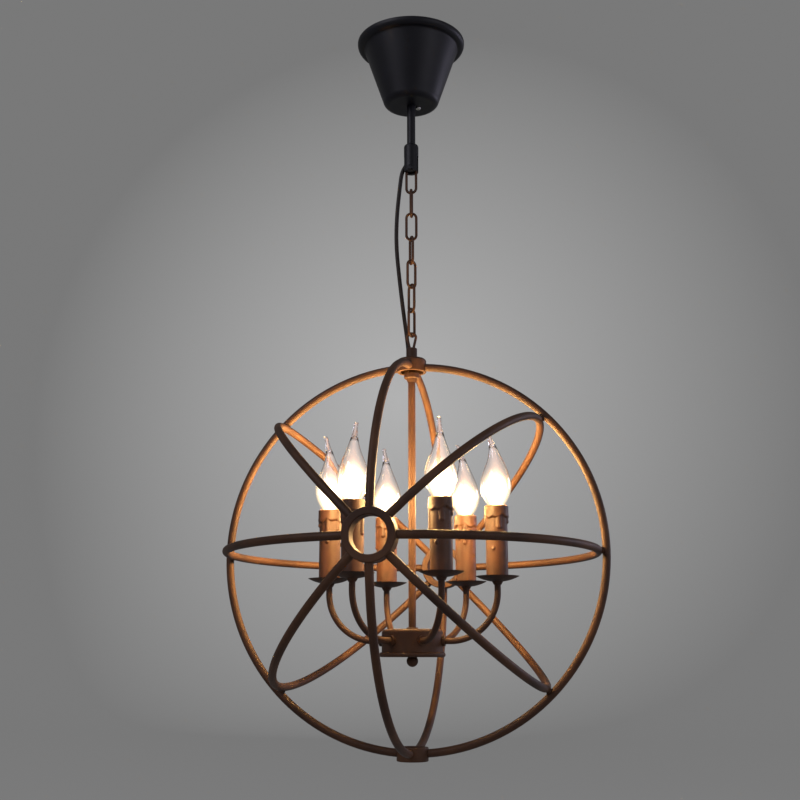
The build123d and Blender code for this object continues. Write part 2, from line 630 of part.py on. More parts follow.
def nodes():
    parts = {
        "ceiling_bracket": ceiling_bracket(), "terminal_block": terminal_block(),
        "canopy": canopy(), "canopy_bush": canopy_bush(), "canopy_screw": canopy_screw(),
        "stem": stem(), "stem_nuts": stem_nuts(), "hanger": hanger(),
        "hanger_pin": hanger_pin(), "orb_loop": orb_loop(), "loop_locknut": loop_locknut(),
        "flex_cord": flex_cord(), "top_collar": top_collar(), "bottom_collar": bottom_collar(),
        "front_collar": side_collar(-1), "back_collar": side_collar(1),
        "frontal_hoop_left": frontal_hoop(-1), "frontal_hoop_right": frontal_hoop(1),
        "horizontal_hoop_left": horizontal_hoop(-1), "horizontal_hoop_right": horizontal_hoop(1),
        "vertical_hoops_front": vertical_hoops(-1), "vertical_hoops_back": vertical_hoops(1),
        "diagonal_hoops_rising": diagonal_hoops(-45),
        "diagonal_hoops_falling": diagonal_hoops(45),
        "column_nut": column_nut(), "column": column(), "hub_shell": hub_shell(),
        "hub_cover": hub_cover(), "finial": finial(), "arm_bosses": arm_bosses(),
        "bobeches": at_cup(bobeche()), "cup_seats": at_cup(cup_seat()),
        "lampholders": at_cup(lampholder()), "candle_sleeves": at_cup(candle_sleeve()),
    }
    for number in range(LINKS):
        parts[f"chain_link_{number + 1}"] = chain_link(number)
    for number, tube in enumerate(around(arm()), 1):
        parts[f"arm_{number}"] = tube
    # A bulb's tip points wherever its screw thread stops it.
    glass, cap = bulb_glass(), bulb_cap()
    for number in range(ARMS):
        turn = radians(360 * number / ARMS)
        spot = Pos(ARM_REACH * cos(turn), ARM_REACH * sin(turn), CENTRE_Z)
        parts[f"bulb_glass_{number + 1}"] = spot * Rot(0, 0, BULB_TURNS[number]) * glass
        parts[f"bulb_cap_{number + 1}"] = spot * cap
    return parts


os.makedirs("parts", exist_ok=True)
for name, shape in nodes().items():
    solids = shape if isinstance(shape, list) else [shape]
    export_step(Compound(children=[s for item in solids for s in item.solids()]),
                f"parts/{name}.step")
    print(name, len(solids))
print("cage centre z", round(CENTRE_Z, 2), "pin z", round(PIN_Z, 2), "chain end", CHAIN_END)
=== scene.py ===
# %% [markdown]
# # Orb chandelier with six candle lights
# The lamp hangs from a ceiling strap under a black conical canopy. A stem, a slotted hanger and
# a link chain carry a cage of crossed hoops. Six arms in the cage end in candle sleeves with
# bent-tip bulbs. The metalwork comes from the CAD frame, and this lesson dresses it: it makes
# the surfaces, the candle sleeves with their drips, the lit bulbs, the welds and the cord.

# %% Load the frame
import bpy
import bmesh
import json
from math import atan2, cos, exp, pi, radians, sin
from mathutils import Matrix, Vector

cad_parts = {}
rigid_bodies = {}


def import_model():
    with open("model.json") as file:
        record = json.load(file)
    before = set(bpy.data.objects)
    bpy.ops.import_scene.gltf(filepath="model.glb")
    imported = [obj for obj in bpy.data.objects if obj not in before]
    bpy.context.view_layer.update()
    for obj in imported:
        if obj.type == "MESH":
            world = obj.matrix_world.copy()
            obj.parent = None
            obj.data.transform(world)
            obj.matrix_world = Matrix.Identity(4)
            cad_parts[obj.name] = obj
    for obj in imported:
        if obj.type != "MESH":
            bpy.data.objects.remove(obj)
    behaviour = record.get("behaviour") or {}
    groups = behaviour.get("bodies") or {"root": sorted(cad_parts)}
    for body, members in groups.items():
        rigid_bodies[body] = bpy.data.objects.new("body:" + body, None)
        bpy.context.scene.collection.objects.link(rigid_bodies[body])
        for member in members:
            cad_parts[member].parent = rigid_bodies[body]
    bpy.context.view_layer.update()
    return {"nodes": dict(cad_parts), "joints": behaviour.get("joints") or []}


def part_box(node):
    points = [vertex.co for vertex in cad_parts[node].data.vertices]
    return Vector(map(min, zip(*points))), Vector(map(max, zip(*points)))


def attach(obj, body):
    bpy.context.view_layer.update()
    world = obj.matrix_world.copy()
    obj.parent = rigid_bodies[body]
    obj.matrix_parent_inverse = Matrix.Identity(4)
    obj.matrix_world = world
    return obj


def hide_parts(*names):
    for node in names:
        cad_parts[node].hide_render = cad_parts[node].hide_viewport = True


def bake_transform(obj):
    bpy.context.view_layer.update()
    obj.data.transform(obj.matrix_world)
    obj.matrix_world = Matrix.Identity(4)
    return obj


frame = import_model()


# %% [markdown]
# ## Where things are
# Every size is in metres. Places are read from the frame's boxes, so that a piece sits where
# the CAD says. The cage's centre is the middle of the front hoop, and a candle's axis is the
# middle of its bulb's cap. Everything new enters the scene through one small helper.

# %% Places from the frame
MM = 0.001
CANDLES = 6


def middle(node):
    low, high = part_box(node)
    return (Vector(low) + Vector(high)) / 2


def placed(name, data):
    """A new object of the scene, at the origin."""
    thing = bpy.data.objects.new(name, data)
    bpy.context.scene.collection.objects.link(thing)
    return thing


CENTRE = Vector((0, 0, middle("frontal_hoop_left").z))
CANDLE_AXES = [Vector((*middle(f"bulb_cap_{k + 1}")[:2], 0)) for k in range(CANDLES)]
SLEEVE_LOW, SLEEVE_HIGH = (v[2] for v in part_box("candle_sleeves"))
print("cage centre", CENTRE[:], "sleeves", round(SLEEVE_LOW, 4), round(SLEEVE_HIGH, 4))


# %% [markdown]
# ## Camera
# The photograph looks up a little from below the cage's middle, and the front of the cage is
# turned to the left. The place, the aim and the lens were fitted to the hoops and the collars.

# %% Camera
CAMERA_DISTANCE = 1.485
CAMERA_TURN, CAMERA_RISE = radians(11.45), radians(-5.12)
AIM_TURN, AIM_RISE = radians(12.05), radians(12.72)
LENS_MM, SENSOR_MM = 51.84, 36


def direction(turn, rise):
    """Unit vector away from a camera that stands in front and looks back along +Y."""
    return Vector((-sin(turn) * cos(rise), cos(turn) * cos(rise), sin(rise)))


camera = placed("camera", bpy.data.cameras.new("camera"))
camera.data.lens, camera.data.sensor_width = LENS_MM, SENSOR_MM
camera.location = CENTRE - direction(CAMERA_TURN, -CAMERA_RISE) * CAMERA_DISTANCE
aim = direction(AIM_TURN, AIM_RISE)
camera.rotation_euler = aim.to_track_quat("-Z", "Y").to_euler()
camera.data.clip_end = 50
bpy.context.scene.camera = camera
print("camera at", [round(x, 3) for x in camera.location])


# %% [markdown]
# ## A few helpers for materials
# Blender's shaders work in linear light, and a hex colour is sRGB, so one function converts.
# Another adds a node, sets its settings and links it, so that a recipe reads from top to
# bottom.

# %% Material helpers
def linear(hex_colour):
    """sRGB hex to linear RGBA."""
    channels = [int(hex_colour[i:i + 2], 16) / 255 for i in (1, 3, 5)]
    return (*[c / 12.92 if c <= 0.04045 else ((c + 0.055) / 1.055) ** 2.4
              for c in channels], 1.0)


def add(tree, kind, inputs=None, **settings):
    """Adds a node. An input, by name or number, is a value or the socket it's linked from."""
    node = tree.nodes.new(kind)
    for name, value in settings.items():
        setattr(node, name, value)
    for name, value in (inputs or {}).items():
        if isinstance(value, bpy.types.NodeSocket):
            tree.links.new(value, node.inputs[name])
        else:
            node.inputs[name].default_value = value
    return node


def empty_tree(owner):
    """The node tree of a material or a world, without its first nodes."""
    owner.use_nodes = True
    owner.node_tree.nodes.clear()
    return owner.node_tree


def new_material(name):
    """A material, its tree, its Principled shader and its Object coordinates."""
    material = bpy.data.materials.new(name)
    tree = empty_tree(material)
    shader = add(tree, "ShaderNodeBsdfPrincipled")
    add(tree, "ShaderNodeOutputMaterial", {"Surface": shader.outputs[0]})
    where = add(tree, "ShaderNodeTexCoord").outputs["Object"]
    return material, tree, shader, where


def noise(tree, where, size_mm, detail):
    """Noise whose blobs are about this wide on the object."""
    return add(tree, "ShaderNodeTexNoise",
               {"Vector": where, "Scale": 1 / (size_mm * MM), "Detail": detail})


def ramp(tree, fac, *stops):
    """Colour ramp of (position, hex) stops."""
    node = add(tree, "ShaderNodeValToRGB", {"Fac": fac})
    elements = node.color_ramp.elements
    while len(elements) < len(stops):
        elements.new(0.5)
    for element, (position, colour) in zip(elements, stops):
        element.position, element.color = position, linear(colour)
    return node.outputs["Color"]


def band(tree, fac, low, high):
    """Stretches a factor to the range from low to high."""
    return add(tree, "ShaderNodeMapRange",
               {"Value": fac, "To Min": low, "To Max": high}).outputs["Result"]


def bump(tree, shader, height, depth_mm, strength):
    """Relief of this depth on the shader."""
    node = add(tree, "ShaderNodeBump",
               {"Height": height, "Strength": strength, "Distance": depth_mm * MM})
    tree.links.new(node.outputs["Normal"], shader.inputs["Normal"])


# %% [markdown]
# ## Sprayed paint on steel
# The cage is welded from round steel tube and sprayed a dark brown with a little metal flake.
# It dries to a dull satin, with slow drifts from darker to lighter brown and patches that are
# a little shinier. Sprayed paint also has a fine orange-peel skin. It is kept very faint here,
# to leave the long highlights on the hoops smooth. The canopy, the stem, the hanger and its pin
# have the same paint in black.

# %% Sprayed brown and black paint
PEEL_MM = 1.1           # blobs of orange peel
PEEL_DEPTH_MM = 0.001   # much less than real
DRIFT_MM = 60           # slow drift of the colour
PATCH_MM = 15           # patches of gloss
SPECK_MM = 0.5          # flake, drawn coarser than real so that it shows
FLAKE_SHARE = 0.35      # how much of its own colour a flake shows


def sprayed_paint(name, dark, base, light, flake, gloss):
    """gloss is the roughness from the shiniest to the dullest patch."""
    material, tree, shader, where = new_material(name)
    drift = noise(tree, where, DRIFT_MM, 3).outputs["Fac"]
    body = ramp(tree, drift, (0.3, dark), (0.5, base), (0.72, light))
    speck = noise(tree, where, SPECK_MM, 1).outputs["Fac"]
    glint = band(tree, ramp(tree, speck, (0.6, "#000000"), (0.72, "#FFFFFF")), 0,
                 FLAKE_SHARE)
    paint = add(tree, "ShaderNodeMix",
                {"Factor": glint, "A": body, "B": linear(flake)}, data_type="RGBA")
    tree.links.new(paint.outputs["Result"], shader.inputs["Base Color"])
    patch = noise(tree, where, PATCH_MM, 2).outputs["Fac"]
    tree.links.new(band(tree, patch, *gloss), shader.inputs["Roughness"])
    shader.inputs["Metallic"].default_value = 0.1
    shader.inputs["Specular IOR Level"].default_value = 0.3
    peel = noise(tree, where, PEEL_MM, 2).outputs["Fac"]
    bump(tree, shader, peel, PEEL_DEPTH_MM, 0.4)
    return material


brown_paint = sprayed_paint("sprayed_brown_paint", "#2B180C", "#3B2210", "#4A2E19",
                            "#745033", (0.56, 0.66))
black_paint = sprayed_paint("sprayed_black_paint", "#04040B", "#07070F", "#0B0B17",
                            "#1A1C2C", (0.44, 0.56))
print("paints", brown_paint.name, black_paint.name)


# %% [markdown]
# ## Zinc-plated steel, plastic and brass
# The strap, the nuts and the canopy's bush are bright zinc over pressed or turned steel: a
# cloudy grey that mirrors softly. The canopy's screw is nickel on turned steel, a little
# brighter. The terminal block is white moulded nylon, the lampholders are dark moulded phenolic
# and the bulbs' caps are rolled brass. Clouds in the colour and the gloss keep all of them from
# looking flat.

# %% Plated steel, moulded plastics and rolled brass
METAL_CLOUD_MM, PLASTIC_CLOUD_MM = 9, 14
PLASTIC_GRAIN_MM = 0.4
GRAIN_DEPTH_MM = 0.01


def metal(name, dark, light, roughness, grain_mm):
    """Bare or plated metal; grain is the size of its fine relief."""
    material, tree, shader, where = new_material(name)
    cloud = noise(tree, where, METAL_CLOUD_MM, 3).outputs["Fac"]
    tree.links.new(ramp(tree, cloud, (0.3, dark), (0.7, light)),
                   shader.inputs["Base Color"])
    tree.links.new(band(tree, cloud, *roughness), shader.inputs["Roughness"])
    shader.inputs["Metallic"].default_value = 1.0
    bump(tree, shader, noise(tree, where, grain_mm, 2).outputs["Fac"], GRAIN_DEPTH_MM, 0.5)
    return material


def moulded_plastic(name, dark, light, roughness):
    """Plastic with the fine grain of its mould."""
    material, tree, shader, where = new_material(name)
    cloud = noise(tree, where, PLASTIC_CLOUD_MM, 2).outputs["Fac"]
    tree.links.new(ramp(tree, cloud, (0.35, dark), (0.65, light)),
                   shader.inputs["Base Color"])
    tree.links.new(band(tree, cloud, *roughness), shader.inputs["Roughness"])
    shader.inputs["IOR"].default_value = 1.5
    grain = noise(tree, where, PLASTIC_GRAIN_MM, 2).outputs["Fac"]
    bump(tree, shader, grain, GRAIN_DEPTH_MM, 0.5)
    return material


zinc_steel = metal("bright_zinc_on_pressed_steel", "#A9A9A6", "#C4C3BD", (0.25, 0.4), 0.6)
screw_steel = metal("nickel_on_turned_steel", "#B5B3AE", "#CFCDC8", (0.18, 0.3), 0.4)
rolled_brass = metal("rolled_brass", "#B8963C", "#CBAA52", (0.22, 0.36), 0.5)
white_nylon = moulded_plastic("moulded_white_nylon", "#D9D7CE", "#E6E4DC", (0.45, 0.55))
dark_phenolic = moulded_plastic("moulded_dark_phenolic", "#17120F", "#221B16", (0.3, 0.42))

FINISH = {
    "ceiling_bracket": zinc_steel, "stem_nuts": zinc_steel, "canopy_bush": zinc_steel,
    "loop_locknut": zinc_steel, "canopy_screw": screw_steel, "hanger_pin": black_paint,
    "terminal_block": white_nylon, "lampholders": dark_phenolic,
    "canopy": black_paint, "stem": black_paint, "hanger": black_paint,
}
FINISH.update({f"bulb_cap_{k + 1}": rolled_brass for k in range(CANDLES)})
for node, thing in frame["nodes"].items():
    thing.data.materials.clear()
    thing.data.materials.append(FINISH.get(node, brown_paint))
print("finished nodes", len(frame["nodes"]))


# %% [markdown]
# ## Turning a shape from its outline
# Most pieces here are round, so one helper spins an outline of (radius, height) points about
# an upright axis. The outline's points that lie on the axis are merged into one by
# remove_doubles, and the normals are worked out again, because spin doesn't know the outside.

# %% Helpers for meshes
def clean(work):
    """Merges points that lie in one place and turns every face outwards."""
    bmesh.ops.remove_doubles(work, verts=work.verts, dist=1e-6)
    bmesh.ops.recalc_face_normals(work, faces=work.faces)


def shade_smooth(mesh):
    for polygon in mesh.polygons:
        polygon.use_smooth = True


def smooth_mesh(name, work, material):
    """Turns a bmesh into a smooth mesh with one material."""
    mesh = bpy.data.meshes.new(name)
    work.to_mesh(mesh)
    work.free()
    shade_smooth(mesh)
    mesh.materials.append(material)
    return mesh


def finish_piece(name, work, material, body):
    """Turns a bmesh into an object at the origin that rides on a body."""
    clean(work)
    piece = placed(name, smooth_mesh(name, work, material))
    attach(piece, body)
    return piece


def spun(outline, steps):
    """bmesh of an outline of (radius, height), turned about Z."""
    work = bmesh.new()
    points = [work.verts.new((r, 0, z)) for r, z in outline]
    edges = [work.edges.new(pair) for pair in zip(points, points[1:])]
    bmesh.ops.spin(work, geom=points + edges, cent=(0, 0, 0), axis=(0, 0, 1),
                   angle=2 * pi, steps=steps, use_merge=True)
    return work


# %% [markdown]
# ## Candle sleeves
# Each sleeve is a moulded tube that looks like a candle. Melted wax is moulded in relief: a
# collar round the top with a scalloped lower edge, from which drips run down and end in a
# bead, and one small loose drop lower down. The tube is spun, cut into fine rings and then
# pushed outwards by a height that the drips give, as a sculptor would add clay.

# %% Candle sleeves with wax drips
SLEEVE_R, SLEEVE_BORE_R = 13.75 * MM, 12.25 * MM    # the tube's, without the wax
DRIP_RELIEF = 1.9 * MM              # how far the wax stands out
COLLAR_MM = 14.5                    # from the top to the scallops
COLLAR_FRONT_MM = 2.6               # over which the collar's lower edge rounds off
SCALLOPS, SCALLOP_MM = 7, 2.6       # their number and depth
WANDER_MM = 1.2                     # how far the scalloped edge wanders up and down
SWELL = 0.15                        # thicker band above the collar's edge
SWELL_UP_MM, SWELL_WIDE_MM = 3.0, 2.0
BODY = 0.85                         # collar's and drips' share of the full relief
# angle about the sleeve in degrees, length from the top and half-width in millimetres
DRIPS = ((-155, 41, 3.6), (-70, 31, 4.0), (-5, 24, 3.2), (58, 45, 3.4), (120, 29, 3.8),
         (172, 35, 3.0))
BEAD = 0.25                         # thicker part at a drip's end
BEAD_UP_MM, BEAD_WIDE_MM = 2.5, 2.2
DROP = (-100, 55, 2.4)
DROP_LONG, DROP_HEIGHT = 1.4, 0.9   # its length against its width, and its relief
LIP_MM = 1.2                        # over which the relief dies away at the very top
TURN_BETWEEN = radians(71)          # so that no two sleeves show the same side
RINGS, SIDES = 150, 140


def rounded(t):
    """Soft bead of wax: 1 in the middle, 0 from t = 1 on."""
    return (1 - min(abs(t), 1.0) ** 2) ** 1.1


def bell(t):
    """1 at 0, dying away on both sides."""
    return exp(-t ** 2)


def from_line(angle, at_degrees, half_width):
    """Distance round the sleeve from an upright line, in half-widths."""
    across = (angle - radians(at_degrees) + pi) % (2 * pi) - pi
    return across * SLEEVE_R / MM / half_width


def wax_height(angle, down_mm):
    """Share of the relief at an angle about the sleeve and a distance from its top."""
    edge = COLLAR_MM + SCALLOP_MM * abs(sin(SCALLOPS * angle / 2))
    edge += WANDER_MM * sin(3 * angle + 1)
    front = min(1.0, max(0.0, (edge - down_mm) / COLLAR_FRONT_MM))
    swell = SWELL * bell((edge - down_mm - SWELL_UP_MM) / SWELL_WIDE_MM)
    best = sin(front * pi / 2) * (BODY + swell)
    for at, length, half_width in DRIPS:
        across = from_line(angle, at, half_width)
        bead = 1.0 + BEAD * bell((down_mm - length + BEAD_UP_MM) / BEAD_WIDE_MM)
        end = max(0.0, (down_mm - length + half_width) / half_width)
        if end < 1.0:
            best = max(best, rounded((across ** 2 + end ** 2) ** 0.5) * bead * BODY)
    at, down_to, half_width = DROP
    across = from_line(angle, at, half_width)
    along = (down_mm - down_to) / (half_width * DROP_LONG)
    return max(best, rounded((across ** 2 + along ** 2) ** 0.5) * DROP_HEIGHT)


WAX_DRIFT_MM, WAX_PATCH_MM = 22, 6  # colour and gloss
WAX_GRAIN_MM, WAX_GRAIN_DEPTH_MM = 0.9, 0.05


def painted_wax(name):
    """Bronze-brown paint on moulded plastic: a little lighter than on the steel."""
    material, tree, shader, where = new_material(name)
    drift = noise(tree, where, WAX_DRIFT_MM, 3).outputs["Fac"]
    tree.links.new(ramp(tree, drift, (0.3, "#37200F"), (0.55, "#472A17"), (0.75, "#573620")),
                   shader.inputs["Base Color"])
    patch = noise(tree, where, WAX_PATCH_MM, 2).outputs["Fac"]
    tree.links.new(band(tree, patch, 0.42, 0.6), shader.inputs["Roughness"])
    shader.inputs["Specular IOR Level"].default_value = 0.35
    grain = noise(tree, where, WAX_GRAIN_MM, 3).outputs["Fac"]
    bump(tree, shader, grain, WAX_GRAIN_DEPTH_MM, 0.5)
    return material


sleeve_paint = painted_wax("brown_paint_on_moulded_sleeve")
tall = SLEEVE_HIGH - SLEEVE_LOW
for k, spot in enumerate(CANDLE_AXES):
    outside = [(SLEEVE_R, SLEEVE_LOW + tall * i / RINGS) for i in range(RINGS + 1)]
    outline = [(SLEEVE_BORE_R, SLEEVE_LOW), *outside, (SLEEVE_BORE_R, SLEEVE_HIGH),
               (SLEEVE_BORE_R, SLEEVE_LOW)]
    work = spun(outline, SIDES)
    for vert in work.verts:
        flat = Vector(vert.co[:2])
        if flat.length > SLEEVE_R - 1e-5:
            down = (SLEEVE_HIGH - vert.co.z) / MM
            turned = atan2(flat.y, flat.x) - k * TURN_BETWEEN
            lip = min(1.0, down / LIP_MM)
            grow = 1 + DRIP_RELIEF * wax_height(turned, down) / SLEEVE_R * lip
            vert.co.x *= grow
            vert.co.y *= grow
    bmesh.ops.translate(work, verts=work.verts, vec=spot)
    sleeve = finish_piece(f"candle_sleeve_{k + 1}", work, sleeve_paint, "orb")
    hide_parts("candle_sleeves")
print("sleeves", CANDLES, "tall", round(tall / MM, 1), "mm")


# %% [markdown]
# ## Bulbs
# A flame bulb is blown clear glass, under a millimetre thick. Its tip is drawn out and bent
# over while hot, and the end melts into a small bead. When it is lit, the eye sees a white
# glow low in the bulb that fades towards its sides and its tip. So the glass is spun as a
# shell with both its walls, and the tip is bent by moving points. The outer wall has the glow.
# It is strong where the wall is seen square on, by Layer Weight, and dies away with height.

# %% Lit glass
WALL_MM = 0.8
GLASS_CLOUD_MM = 25     # very slight unevenness of the polish
GLOW = 5.0              # strength at its brightest
FALLOFF = 8.0           # power by which the glow dies away to the sides


def clear_glass(name):
    """Blown soda glass, smooth and without colour."""
    material, tree, shader, where = new_material(name)
    shader.inputs["Base Color"].default_value = linear("#FFFFFF")
    shader.inputs["Transmission Weight"].default_value = 1.0
    shader.inputs["IOR"].default_value = 1.5
    cloud = noise(tree, where, GLASS_CLOUD_MM, 1).outputs["Fac"]
    tree.links.new(band(tree, cloud, 0.0, 0.02), shader.inputs["Roughness"])
    return material, tree, shader, where


def lit_glass(name, low, high):
    """The same glass with a filament's glow, cream low down and dull brown at the top."""
    material, tree, shader, where = clear_glass(name)
    height = add(tree, "ShaderNodeSeparateXYZ", {"Vector": where}).outputs["Z"]
    upward = add(tree, "ShaderNodeMapRange",
                 {"Value": height, "From Min": low, "From Max": high}).outputs["Result"]
    colour = ramp(tree, upward, (0.0, "#B89468"), (0.05, "#FFE3B5"), (0.26, "#FFE3B5"),
                  (0.34, "#B79A76"), (0.43, "#76604C"), (0.52, "#57453A"), (0.65, "#46362F"),
                  (1.0, "#3A2C27"))
    rim = add(tree, "ShaderNodeLayerWeight", {"Blend": 0.5}).outputs["Facing"]
    square_on = add(tree, "ShaderNodeMapRange",
                    {"Value": rim, "From Min": 1.0, "From Max": 0.0}).outputs["Result"]
    middle_only = add(tree, "ShaderNodeMath", {0: square_on, 1: FALLOFF}, operation="POWER")
    glow = add(tree, "ShaderNodeVectorMath", {0: colour, "Scale": middle_only.outputs[0]},
               operation="SCALE")
    tree.links.new(glow.outputs[0], shader.inputs["Emission Color"])
    shader.inputs["Emission Strength"].default_value = GLOW
    return material


GLASS_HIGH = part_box("bulb_glass_1")[1][2]
inner_glass = clear_glass("blown_clear_glass")[0]
outer_glass = lit_glass("blown_clear_glass_lit", SLEEVE_HIGH, GLASS_HIGH)
print("glass glows from", round(SLEEVE_HIGH, 4), "to", round(GLASS_HIGH, 4))


# %% Flame bulbs
# radius and height above the sleeve's top, in millimetres
FLAME = ((6.9, -9.8), (7.6, -7), (8.7, -4), (10.3, 0), (12.6, 4), (15.4, 9), (17.9, 14.5),
         (19.4, 20), (19.8, 25), (19.4, 31), (18.2, 37), (16.0, 44), (13.2, 51), (10.6, 57.5),
         (8.3, 64), (6.2, 71), (4.4, 78), (3.2, 84), (2.6, 89), (2.6, 93), (2.9, 95.3),
         (2.3, 97.2), (0, 98))
TIP_MM = FLAME[-1][1]
SOLID_FROM_MM = 80.0                         # the drawn tip has no hollow above this
BEND_FROM_MM = 50.0
BEND_TURN = (180, 180, 135, 215, 75, 265)    # where each tip leans, in degrees about Z
BEND_MM = (11, 10, 8, 8, 8, 7)
BULB_SIDES = 48

hollow = [(r - WALL_MM, z) for r, z in FLAME if z < SOLID_FROM_MM] + [(0, SOLID_FROM_MM)]
outline = [(r * MM, SLEEVE_HIGH + z * MM) for r, z in (*reversed(hollow), *FLAME)]
for k, spot in enumerate(CANDLE_AXES):
    work = spun(outline, BULB_SIDES)
    clean(work)
    for face in work.faces:
        outwards = face.normal.xy.dot(face.calc_center_median().xy)
        face.material_index = 1 if outwards < 0 else 0
    lean = Vector((cos(radians(BEND_TURN[k])), sin(radians(BEND_TURN[k])), 0))
    for vert in work.verts:
        up = ((vert.co.z - SLEEVE_HIGH) / MM - BEND_FROM_MM) / (TIP_MM - BEND_FROM_MM)
        if up > 0:
            vert.co += lean * BEND_MM[k] * MM * up ** 2
    bmesh.ops.translate(work, verts=work.verts, vec=spot)
    bulb = finish_piece(f"flame_bulb_{k + 1}", work, outer_glass, f"bulb_{k + 1}")
    bulb.data.materials.append(inner_glass)
    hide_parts(f"bulb_glass_{k + 1}")
print("bulbs", CANDLES)


# %% [markdown]
# ## Supply cord
# The cord leaves the hanger's slot, hangs in a bow beside the chain and goes into the top
# collar behind the loop. Its line is one smooth NURBS curve through a few given points.
# The chain has eight joints, so the cord is cut halfway between them and each stretch spans
# one joint.

# %% Cord route and stretches
CORD_D = 5.5 * MM
CORD_ROUTE = [Vector(p) * MM for p in (
    (0.0, 0.0, -158.0), (0.0, 0.0, -175.5), (-12.9, 0.0, -189.5), (-16.1, -0.3, -216.0),
    (-20.4, -0.2, -258.0), (-21.2, 0.3, -300.0), (-17.3, 2.2, -345.0), (-12.2, 5.6, -394.0),
    (-8.0, 9.4, -429.0), (-6.2, 10.4, -449.0), (-6.2, 10.4, -467.5))]


SHEATH_CLOUD_MM = 12
SHEATH_GRAIN_MM, SHEATH_GRAIN_DEPTH_MM = 0.8, 0.02


def cord_sheath(name):
    """Extruded PVC: smooth, a little waxy."""
    material, tree, shader, where = new_material(name)
    cloud = noise(tree, where, SHEATH_CLOUD_MM, 2).outputs["Fac"]
    tree.links.new(ramp(tree, cloud, (0.3, "#0F0A08"), (0.7, "#19110D")),
                   shader.inputs["Base Color"])
    tree.links.new(band(tree, cloud, 0.42, 0.55), shader.inputs["Roughness"])
    shader.inputs["Specular IOR Level"].default_value = 0.25
    grain = noise(tree, where, SHEATH_GRAIN_MM, 2).outputs["Fac"]
    bump(tree, shader, grain, SHEATH_GRAIN_DEPTH_MM, 0.5)
    return material


sheath = cord_sheath("extruded_brown_pvc")


def curve_of(name, points, kind):
    """A curve through, or for a NURBS near, its points."""
    curve = bpy.data.curves.new(name, "CURVE")
    curve.dimensions = "3D"
    spline = curve.splines.new(kind)
    spline.points.add(len(points) - 1)
    for place, point in zip(spline.points, points):
        place.co = (*point, 1)
    if kind == "NURBS":
        spline.order_u = 3
        spline.use_endpoint_u = True
        spline.resolution_u = 16
    return curve


def made_mesh(curve):
    """The curve's mesh, from an object that isn't kept."""
    holder = bpy.data.objects.new("holder", curve)
    mesh = bpy.data.meshes.new_from_object(holder)
    bpy.data.objects.remove(holder)
    return mesh


line = [v.co.copy() for v in made_mesh(curve_of("cord_line", CORD_ROUTE, "NURBS")).vertices]
hinges = [j for j in frame["joints"] if j["type"] == "hinge"]
heights = [j["pos_m"][2] for j in hinges]
cuts = [(a + b) / 2 for a, b in zip(heights, heights[1:])]
print("cord line", len(line), "points, cut at", [round(c, 3) for c in cuts])


# %% [markdown]
# Each stretch is a round tube along its part of the line; it isn't attached to a body of the
# chain. Neighbouring stretches share the point where they are cut.

# %% Cord stretches across the chain's joints
BEND_SHARE = 0.45       # share of a stretch above and below its joint; the reach it gives is not used


def split_line(points, at_heights):
    """Cuts a falling line at heights, with the cut points in both neighbours."""
    stretches, current = [], [points[0]]
    left = list(at_heights)
    for a, b in zip(points, points[1:]):
        while left and b.z < left[0] <= a.z:
            cut = a.lerp(b, (a.z - left[0]) / (a.z - b.z))
            stretches.append(current + [cut])
            current = [cut]
            left.pop(0)
        if (b - current[-1]).length > 1e-5:
            current.append(b)
    return stretches + [current]


def tube_along(name, points, thick):
    """A round tube's mesh along a line."""
    curve = curve_of(name, points, "POLY")
    curve.bevel_depth = thick / 2
    curve.bevel_resolution = 5
    curve.use_fill_caps = True
    return made_mesh(curve)


def length_of(points):
    return sum((b - a).length for a, b in zip(points, points[1:]))


for k, stretch in enumerate(split_line(line, cuts)):
    mesh = tube_along(f"cord_stretch_{k + 1}", stretch, CORD_D)
    mesh.materials.append(sheath)
    shade_smooth(mesh)
    tube = placed(f"cord_stretch_{k + 1}", mesh)
    reach = BEND_SHARE * (stretch[0].z - stretch[-1].z)
    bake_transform(tube)
    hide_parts("flex_cord")
print("cord", round(length_of(line), 4), "m in", len(cuts) + 1, "stretches")


# %% [markdown]
# ## Welds
# The inner hoops are tacked to the front one where they pass inside it. A tack between two
# tubes is a little lump of run metal, before and behind, and the same sprayed brown covers it.

# %% Weld lumps where the hoops cross
HOOP_R = 5 * MM                              # the tube's radius
FRONT_R = 245 * MM                           # the front hoop's, to the tube's axis
WELD_ASIDE = 3.4 * MM                        # before or behind the front hoop's plane
WELD_SIZE = (2.2 * MM, 2.0 * MM, 4.2 * MM)   # half-sizes: outwards, across, along the hoop
WELD_TURNS = (0, 45, 135, 180, 225, 315)     # about the front hoop's axis, in degrees
RIPPLE = 0.06                                # share by which run metal swells and sinks


def weld_lump(name, at, size, turn):
    """A ball drawn out along the hoops and roughened like run metal."""
    work = bmesh.new()
    bmesh.ops.create_icosphere(work, subdivisions=3, radius=1.0)
    for vert in work.verts:
        ripple = 1 + RIPPLE * sin(9 * vert.co.y + turn) * cos(7 * vert.co.x)
        vert.co = Vector([c * s * ripple for c, s in zip(vert.co, size)])
    bmesh.ops.rotate(work, verts=work.verts, cent=(0, 0, 0),
                     matrix=Matrix.Rotation(-turn, 3, "Y"))
    bmesh.ops.translate(work, verts=work.verts, vec=at)
    finish_piece(name, work, brown_paint, "orb")


for k, degrees_round in enumerate(WELD_TURNS):
    turn = radians(degrees_round)
    out = Vector((cos(turn), 0, sin(turn)))
    for side in (-1, 1):
        spot = CENTRE + out * (FRONT_R - HOOP_R) + Vector((0, side * WELD_ASIDE, 0))
        weld_lump(f"weld_{k + 1}_{'front' if side < 0 else 'back'}", spot, WELD_SIZE, turn)
print("welds", 2 * len(WELD_TURNS))
